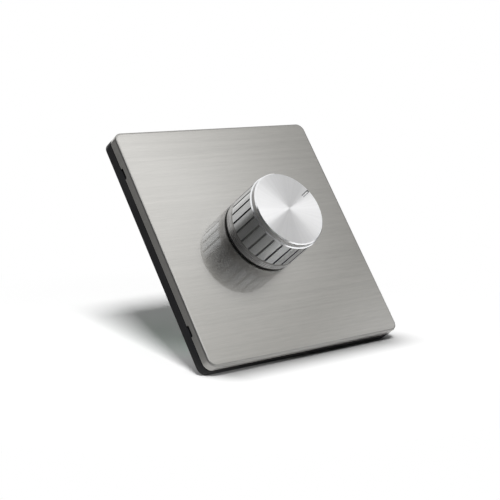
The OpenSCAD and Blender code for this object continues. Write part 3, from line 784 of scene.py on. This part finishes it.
eased_nodes = [
    ("panel_carrier", "black_moulding", black_moulding, 0.12),
    ("base_frame", "black_moulding", black_moulding, 0.15),
    ("knob_core", "black_moulding", black_moulding, 0.10),
    ("switch_bushing", "cast_zinc", cast_zinc, 0.10),
    ("switch_nut", "plated_steel", plated_steel, 0.12),
    ("core_clip", "plated_steel", plated_steel, 0.10),
    ("terminal_block", "terminal_plastic", terminal_green, 0.15),
    ("coil_bobbin", "natural_acetal", acetal, 0.12),
    ("coil_winding", "winding_tape", tape, 0.20),
    ("index_ring", "natural_acetal", acetal, 0.08),
    ("circuit_board", "board_laminate", board_green, 0.06),
    ("stator_wafer", "phenolic_sheet", phenolic, 0.06),
]
for node, slot_name, finish, ease in eased_nodes:
    eased_copy(node, slot_name, finish, ease * MM)

# %% Finishes on the nodes that stay
kept_nodes = {
    plated_steel: ("lock_washer", "tie_rivets", "board_screws", "terminal_screws", "switch_shaft"),
    spring_steel: ("detent_balls", "detent_spring", "shaft_clip", "stop_pin"),
    acetal: ("index_star", "wiper_rotor"),
    contact_brass: ("stator_contacts", "switch_pins", "transformer_pins", "terminal_pins", "terminal_cages",
                    "wiper_contact"),
    core_sheets: ("core_e", "core_i"),
}
for finish, nodes in kept_nodes.items():
    for node in nodes:
        kept = frame["nodes"][node]
        kept.data.materials.clear()
        kept.data.materials.append(finish)
print("kept nodes:", sum(len(nodes) for nodes in kept_nodes.values()))

# %% [markdown]
# ## Solder joints and tracks
# Every pin that passes through the board is soldered where it comes out: the switch's pins on the rear and
# the pins of the transformer and the terminals on the front. Molten solder creeps up a pin in a hollow
# cone, so one cone is drawn as a turned profile and a Geometry Nodes tree seats a copy on each pin. The
# pins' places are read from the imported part. The tracks are thin copper strips under the green lacquer.

# %% Where the pins come out
board_low, board_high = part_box("circuit_board")


def pin_places(node):
    shell = merged_shell(frame["nodes"][node].data)
    waiting = set(shell.verts)
    places = []
    while waiting:
        pin = {waiting.pop()}
        growing = list(pin)
        while growing:
            for edge in growing.pop().link_edges:
                for point in edge.verts:
                    if point in waiting:
                        waiting.remove(point)
                        pin.add(point)
                        growing.append(point)
        middle = sum((point.co for point in pin), Vector()) / len(pin)
        places.append((middle.x, middle.z))
    shell.free()
    return places


rear_pins = pin_places("switch_pins")
front_pins = pin_places("transformer_pins") + pin_places("terminal_pins")
print("pins soldered on the rear:", len(rear_pins), "and on the front:", len(front_pins))

# %% Solder cone
solder = line_metal("solder", None, (500, 500, 500), (0.62, 0.62, 0.64), (0.74, 0.74, 0.76), 0.18, 0.30, 0.05)
JOINT_R = 0.95 * MM
JOINT_H = 0.65 * MM
PIN_R = 0.5 * MM
JOINT_STEPS = 20
JOINT_RINGS = 6


def joint_cone(face_y, rise):
    shell = bmesh.new()
    rings = []
    for ring in range(JOINT_RINGS + 1):
        climb = ring / JOINT_RINGS
        r = PIN_R + (JOINT_R - PIN_R) * (1 - climb) ** 2
        rings.append(circle(shell, r, face_y + rise * JOINT_H * climb, JOINT_STEPS))
    bridge(shell, rings)
    shell.faces.new(rings[0])
    shell.faces.new(rings[-1])
    return finished_mesh(shell, "joint")


print("solder cones are", round(JOINT_H / MM, 2), "mm high")

# %% Solder joints


def added_piece(name, mesh, beside_node):
    piece = loose_object(name, mesh)
    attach(piece, body_of_node[beside_node])
    print(name, "added with", len(mesh.polygons), "faces")


seated_copies, entry, result = new_group(
    "seated_copies",
    [("Geometry", "Geometry"), ("Seats", "Object"), ("Finish", "Material")],
    [("Geometry", "Geometry")],
    "GeometryNodeTree",
)
seat_points = add_node(seated_copies, "GeometryNodeObjectInfo", Object=entry["Seats"]).outputs["Geometry"]
cones = real_copies(seated_copies, seat_points, entry["Geometry"])
give_dressed(seated_copies, result, cones, entry["Finish"])
for name, places, face_y, rise in (
    ("rear_solder", rear_pins, board_high.y, 1), ("front_solder", front_pins, board_low.y, -1),
):
    seat_mesh = bpy.data.meshes.new("seats")
    seat_mesh.from_pydata([(x, 0, z) for x, z in places], [], [])
    seats = loose_object("seats", seat_mesh)
    joints = copies_mesh(joint_cone(face_y, rise), seated_copies, Seats=seats, Finish=solder)
    bpy.data.objects.remove(seats)
    soften(joints, HARD_EASED)
    added_piece(name, joints, "circuit_board")

# %% Routes of the tracks
masked_copper = moulded("masked_copper", (0.045, 0.24, 0.11), (0.06, 0.30, 0.14), 0.2, 0.3, 1400, 0.05)
TRACK_W = 0.8 * MM
TRACK_H = 0.05 * MM
MITRE_LEAST = 0.5
routes = [
    [(-4.65, -8.05), (-4.65, -13.5), (-2.25, -15.9), (0, -15.9)],
    [(-8.05, -4.65), (-8.05, -17.0), (-6.0, -19.05), (2.0, -19.05), (3.75, -17.3), (3.75, -15.9)],
    [(-9.3, 0), (-11.0, -1.7), (-11.0, -19.0), (-9.0, -21.0), (4.4, -21.0), (7.5, -17.9), (7.5, -15.9)],
    [(-8.05, 4.65), (-13.5, -0.8), (-13.5, -21.0), (-11.5, -23.0), (6.15, -23.0), (11.25, -17.9),
     (11.25, -15.9)],
    [(-4.65, 8.05), (-7.2, 8.05), (-16.0, -0.75), (-16.0, -23.0), (-14.0, -25.0), (7.9, -25.0), (15, -17.9),
     (15, -15.9)],
    [(0, 9.3), (0, 20.0), (-2.54, 22.54), (-2.54, 28.5)],
    [(4.65, 8.05), (4.65, 18.0), (2.54, 20.11), (2.54, 28.5)],
    [(8.05, 4.65), (10.0, 6.6), (10.0, 22.0), (7.62, 24.38), (7.62, 28.5)],
    [(0, 1.1), (0, 3.4), (-2.4, 5.8), (-2.4, 19.0), (-7.62, 24.22), (-7.62, 28.5)],
]
print("routes:", len(routes))

# %% Board tracks


def track_sides(route):
    points = [Vector((x * MM, z * MM)) for x, z in route]
    left = []
    right = []
    for index, point in enumerate(points):
        before = (point - points[index - 1]).normalized() if index > 0 else None
        after = (points[index + 1] - point).normalized() if index + 1 < len(points) else None
        along = ((before or after) + (after or before)).normalized()
        across = Vector((-along.y, along.x))
        spread = TRACK_W / 2 / max(MITRE_LEAST, along.dot(before or after))
        left.append(point + across * spread)
        right.append(point - across * spread)
    return left, right


shell = bmesh.new()
for route in routes:
    left, right = track_sides(route)
    corners = []
    for y in (board_high.y, board_high.y + TRACK_H):
        corners.append([[shell.verts.new((point.x, y, point.y)) for point in side] for side in (left, right)])
    (low_left, low_right), (top_left, top_right) = corners
    for index in range(len(route) - 1):
        sides = ((top_left, top_right), (low_left, top_left), (top_right, low_right), (low_right, low_left))
        for one, other in sides:
            shell.faces.new((one[index], one[index + 1], other[index + 1], other[index]))
    for index in (0, -1):
        shell.faces.new((low_left[index], top_left[index], top_right[index], low_right[index]))
track_mesh = finished_mesh(shell, "board_tracks")
track_mesh.materials.append(masked_copper)
added_piece("board_tracks", track_mesh, "circuit_board")

# %% [markdown]
# ## The camera
# The camera was worked out from the plate's four corners and the knob's outline, with the plate taken as
# square. It is written as three directions and a place, because a picture gives those more exactly than
# it gives angles.

# %% Camera
SENSOR_W = 36
LENS = 94.2889
CAMERA_PLACE = Vector((-0.296203, -0.310075, -0.139747))
scene = bpy.context.scene
scene.view_settings.view_transform = "Standard"
camera_data = bpy.data.cameras.new("camera")
camera_data.sensor_width = SENSOR_W
camera_data.lens = LENS
camera = loose_object("camera", camera_data)
right = Vector((0.747627, -0.540842, -0.385414))
up = Vector((0.100369, -0.481658, 0.870593))
forward = Vector((0.656491, 0.689562, 0.305816))
turned = Matrix((right, up, -forward)).transposed()
camera.matrix_world = Matrix.Translation(CAMERA_PLACE) @ turned.to_4x4()
scene.camera = camera
print("camera lens", camera_data.lens)

# %% [markdown]
# ## The table
# The control leans back on a white table. The floor's normal is tilted against the part, so the part stays
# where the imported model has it. Seen from the camera the table fades to plain white away from the part, and
# near the part it is a matte white that takes the shadow. A little glow lifts the shadow under the leaning
# part, where light from the room would creep in. Metal mirrors a dimmer table, graded towards the front,
# because a real table ends and the room behind it is darker.

# %% Floor
floor_up = Vector((0, -0.57986, 0.81472))
floor_back = Vector((0, floor_up.z, -floor_up.y))
floor_right = Vector((1, 0, 0))
floor_point = Vector((0, 0, -half_plate))
FLOOR_HALF = 3.0


def stage_point(across, back, rise):
    return floor_point + floor_right * across + floor_back * back + floor_up * rise


def stage_sheet(name, points, finish, in_view, *faces):
    mesh = bpy.data.meshes.new(name)
    mesh.from_pydata(points, [], faces)
    mesh.materials.append(finish)
    sheet = loose_object(name, mesh)
    sheet.visible_camera = in_view
    sheet.visible_diffuse = False
    sheet.visible_shadow = False


floor_corners = [stage_point(FLOOR_HALF * across, FLOOR_HALF * back, 0)
                 for across, back in ((-1, -1), (1, -1), (1, 1), (-1, 1))]
print("floor tilt", round(math.degrees(math.acos(floor_up.z)), 1))

# %% Table finish


def stage_finish(name):
    finish = bpy.data.materials.new(name)
    finish.use_nodes = True
    finish.node_tree.nodes.clear()
    return finish, finish.node_tree


def grey_ramp(tree, share, stops):
    return tone_ramp(tree, share, [(place, (tone, tone, tone)) for place, tone in stops])


def mix(tree, share, first, second):
    return add_node(tree, "ShaderNodeMix", Factor=share, A=first, B=second).outputs[0]


def mix_shaders(tree, share, first, second):
    return add_node(tree, "ShaderNodeMixShader", None, share, first, second).outputs[0]


def white_glow(tree, strength):
    return add_node(tree, "ShaderNodeEmission", Color=(1, 1, 1, 1), Strength=strength).outputs[0]


def fading(tree, place, middle, start, end, most=1):
    reach = vector_maths(tree, "DISTANCE", place, middle)
    return map_range(tree, reach, start, end, "SMOOTHSTEP", To_Max=most)


SEEN_FADE = (0.06, 0.15)
MIRRORED_FADE = (0.07, 0.12)
LIFT_REACH = 0.05
SHADOW_LIFT = 0.21
table_middle = stage_point(0, 0.05, 0)
mirrored_middle = stage_point(0.05, -0.03, 0)
shadow_core = stage_point(-0.034, 0.026, 0)
table_finish, tree = stage_finish("white_table")
place = object_place(tree)
mirrored = add_node(tree, "ShaderNodeLightPath").outputs["Is Glossy Ray"]
seen_far = fading(tree, place, table_middle, *SEEN_FADE)
mirrored_far = fading(tree, place, mirrored_middle, *MIRRORED_FADE)
lifted = fading(tree, place, shadow_core, LIFT_REACH, 0, SHADOW_LIFT)
plain = mix(tree, mirrored, maths(tree, "MAXIMUM", seen_far, lifted), mirrored_far)
print("made", table_finish.name)

# %% Mirrored table
TABLE_SPAN = (-0.1, 0.5)
TABLE_TONES = (0.10, 0.20), (0.20, 0.35), (0.60, 0.35), (0.88, 0.20)
foot_ahead = floor_point.dot(-floor_back)
ahead = maths(tree, "SUBTRACT", vector_maths(tree, "DOT_PRODUCT", place, -floor_back), foot_ahead)
table_tone = grey_ramp(tree, map_range(tree, ahead, *TABLE_SPAN), TABLE_TONES)
glow = white_glow(tree, mix(tree, mirrored, 1, table_tone))
print("foot line at", round(foot_ahead / MM, 1), "mm ahead of the origin")

# %% [markdown]
# ## The contact shadow
# Little light gets in under the plate's foot, so the table is almost black along the foot and pale a
# finger's width away. A soft lamp alone leaves that line too weak, so the table's own tone is darkened in a
# narrow band: four soft limits, before and behind the foot and at its two ends, are multiplied together.
# The bent edge mirrors that band, and a weaker band is used for it there, or the edge would go black.

# %% Contact shadow
MIRRORED_CONTACT = 0.68
BEFORE_FOOT = (0.020, -0.005)
BEHIND_FOOT = (-0.012, 0.002)
LEFT_END = (-0.046, -0.032)
RIGHT_END = (0.058, 0.034)
CONTACT_TONES = (0.0, 0.92), (1.0, 0.06)
beside = axes(tree, place)["X"]
contact = map_range(tree, mirrored, To_Min=1, To_Max=MIRRORED_CONTACT)
for measure, limits in ((ahead, BEFORE_FOOT), (ahead, BEHIND_FOOT), (beside, LEFT_END), (beside, RIGHT_END)):
    contact = maths(tree, "MULTIPLY", contact, map_range(tree, measure, *limits, "SMOOTHSTEP"))
contact_tone = grey_ramp(tree, contact, CONTACT_TONES)
matte = add_node(tree, "ShaderNodeBsdfDiffuse", Color=contact_tone).outputs["BSDF"]
clear = add_node(tree, "ShaderNodeBsdfTransparent").outputs["BSDF"]
below = add_node(tree, "ShaderNodeNewGeometry").outputs["Backfacing"]
table_top = mix_shaders(tree, plain, matte, glow)
add_node(tree, "ShaderNodeOutputMaterial", Surface=mix_shaders(tree, below, table_top, clear))
stage_sheet("floor", floor_corners, table_finish, True, (0, 1, 2, 3))
print("contact shadow joined to", table_finish.name)

# %% [markdown]
# ## The key lamp and the room
# One soft lamp in front on the left throws the shadow behind the plate. It stands far away, so the shadow's
# edges stay fairly crisp, and it is hidden from reflections because a softbox card takes its place there.
# A weaker lamp behind shows the board and the transformer. It lies below the table's plane, so it can't
# shine on the table. The room is white to the camera and to the metal, and dim for everything else.

# %% Lamps and world
LAMP_AIM = Vector((0, -0.005, 0))
ROOM_LIGHT = 0.24


def lamp(name, across, back, rise, size, watts):
    data = bpy.data.lights.new(name, "AREA")
    data.shape = "SQUARE"
    data.size = size
    data.energy = watts
    made = loose_object(name, data)
    made.location = stage_point(across, back, rise)
    made.rotation_euler = (LAMP_AIM - made.location).to_track_quat("-Z", "Y").to_euler()
    made.visible_glossy = False


lamp("key", across=-0.97, back=-1.344, rise=1.738, size=0.56, watts=75)
lamp("rear_fill", across=0.3, back=1.5, rise=-0.4, size=0.5, watts=13)
world = bpy.data.worlds.new("studio")
scene.world = world
world.use_nodes = True
tree = world.node_tree
tree.nodes.clear()
ambient = add_node(tree, "ShaderNodeBackground", Color=(1, 1, 1, 1), Strength=ROOM_LIGHT).outputs[0]
white = add_node(tree, "ShaderNodeBackground", Color=(1, 1, 1, 1), Strength=1).outputs[0]
ray = add_node(tree, "ShaderNodeLightPath").outputs
seen = maths(tree, "MAXIMUM", ray["Is Camera Ray"], ray["Is Glossy Ray"])
shown = maths(tree, "MAXIMUM", seen, ray["Is Transmission Ray"])
add_node(tree, "ShaderNodeOutputWorld", Surface=mix_shaders(tree, shown, ambient, white))

# %% [markdown]
# ## The graded card
# Bright metal shows its surroundings more than its own colour. A curved card stands round the front, as a
# photographer's card would, and only reflections see it. It is dark low on the left and pale high up, and
# its tones are what shade the steel from corner to corner and give the knob's side its dark and light lands.
# Two rows of gains, one up the card and one across it, are tuned until steel and knob both look right.

# %% Graded card
CARD_R = 1.2
CARD_FOOT = 0.02
CARD_TOP = 2.0
CARD_STEPS = 24
CARD_LEFT = -170
CARD_RIGHT = 115
card_points = []
for rise in (CARD_FOOT, CARD_TOP):
    for step in range(CARD_STEPS + 1):
        angle = math.radians(CARD_LEFT + (CARD_RIGHT - CARD_LEFT) * step / CARD_STEPS)
        card_points.append(stage_point(CARD_R * math.sin(angle), -CARD_R * math.cos(angle), rise))
card_faces = [(step, step + 1, step + CARD_STEPS + 2, step + CARD_STEPS + 1) for step in range(CARD_STEPS)]
card_finish, tree = stage_finish("graded_card")
stage_sheet("graded_card", card_points, card_finish, False, *card_faces)
print("card spans", len(card_faces), "panels")

# %% Tones of the card
CARD_TILT = 0.16
CARD_HIGH = 2.1
HIGH_SPAN = (1.04, 1.60)
LOW_SPAN = (-0.4, 0.8)
LOW_LEFT = 0.10
LOW_RIGHT = 0.45
FOOT_SPAN = (CARD_FOOT, 0.28)
FOOT_TONE = 0.22
place = object_place(tree)
across = axes(tree, place)["X"]
height = vector_maths(tree, "DOT_PRODUCT", place, floor_up + CARD_TILT * floor_right)
level = maths(tree, "SUBTRACT", height, floor_up.dot(floor_point))
low_tone = map_range(tree, across, *LOW_SPAN, "SMOOTHSTEP", To_Min=LOW_LEFT, To_Max=LOW_RIGHT)
foot_tone = map_range(tree, level, *FOOT_SPAN, "SMOOTHSTEP", To_Min=FOOT_TONE, To_Max=0)
lighter = maths(tree, "MAXIMUM", low_tone, foot_tone)
card_tone = mix(tree, map_range(tree, level, *HIGH_SPAN), lighter, CARD_HIGH)
print("card tones from the left to the right and up to", CARD_HIGH)

# %% Gains of the card
LOW_GAIN = 1.4
GAIN_SPAN = (0.35, 0.85)
RISE_GAINS = (0.64, 0.75), (0.91, 2.1), (1.06, 0.82), (1.39, 0.92), (1.71, 0.60)
SIDE_GAINS = (
    (-0.90, 0.65), (-0.45, 0.70), (-0.10, 1.25), (0.70, 1.50),
    (0.86, 0.80), (0.98, 0.97), (1.05, 1.18), (1.12, 0.42),
)


def gain_along(tree, measure, gains):
    first = gains[0][0]
    last = gains[-1][0]
    stops = [((place - first) / (last - first), gain) for place, gain in gains]
    return grey_ramp(tree, map_range(tree, measure, first, last), stops)


raised = map_range(tree, level, *GAIN_SPAN, "SMOOTHSTEP")
side_gain = mix(tree, raised, LOW_GAIN, gain_along(tree, across, SIDE_GAINS))
both_gains = maths(tree, "MULTIPLY", gain_along(tree, level, RISE_GAINS), side_gain)
card_light = maths(tree, "MULTIPLY", card_tone, both_gains)
add_node(tree, "ShaderNodeOutputMaterial", Surface=white_glow(tree, card_light))
print("card tones joined to", card_finish.name)

# %% [markdown]
# ## The softbox card
# The two bright fans on the spun top are one softbox, smeared along the lathe's lines. The card's long edges
# lie along the lines that bound the fans, so its corners are given as directions from the knob.

# %% Softbox seen in the metal
BOX_AWAY = 1.05
BOX_LIGHT = 1.7
BOX_CORNERS = (0.25, 0.136), (-0.45, -0.162), (-0.50, 0.30), (-0.05, 0.55), (0.08, 0.842), (0.30, 0.637)
box_points = []
for across, rise in BOX_CORNERS:
    towards = math.sqrt(1 - across * across - rise * rise)
    box_points.append(BOX_AWAY * Vector((across, -towards, rise)))
box_finish, tree = stage_finish("softbox")
add_node(tree, "ShaderNodeOutputMaterial", Surface=white_glow(tree, BOX_LIGHT))
stage_sheet("softbox", box_points, box_finish, False, tuple(range(len(box_points))))
print("softbox with", len(box_points), "corners")
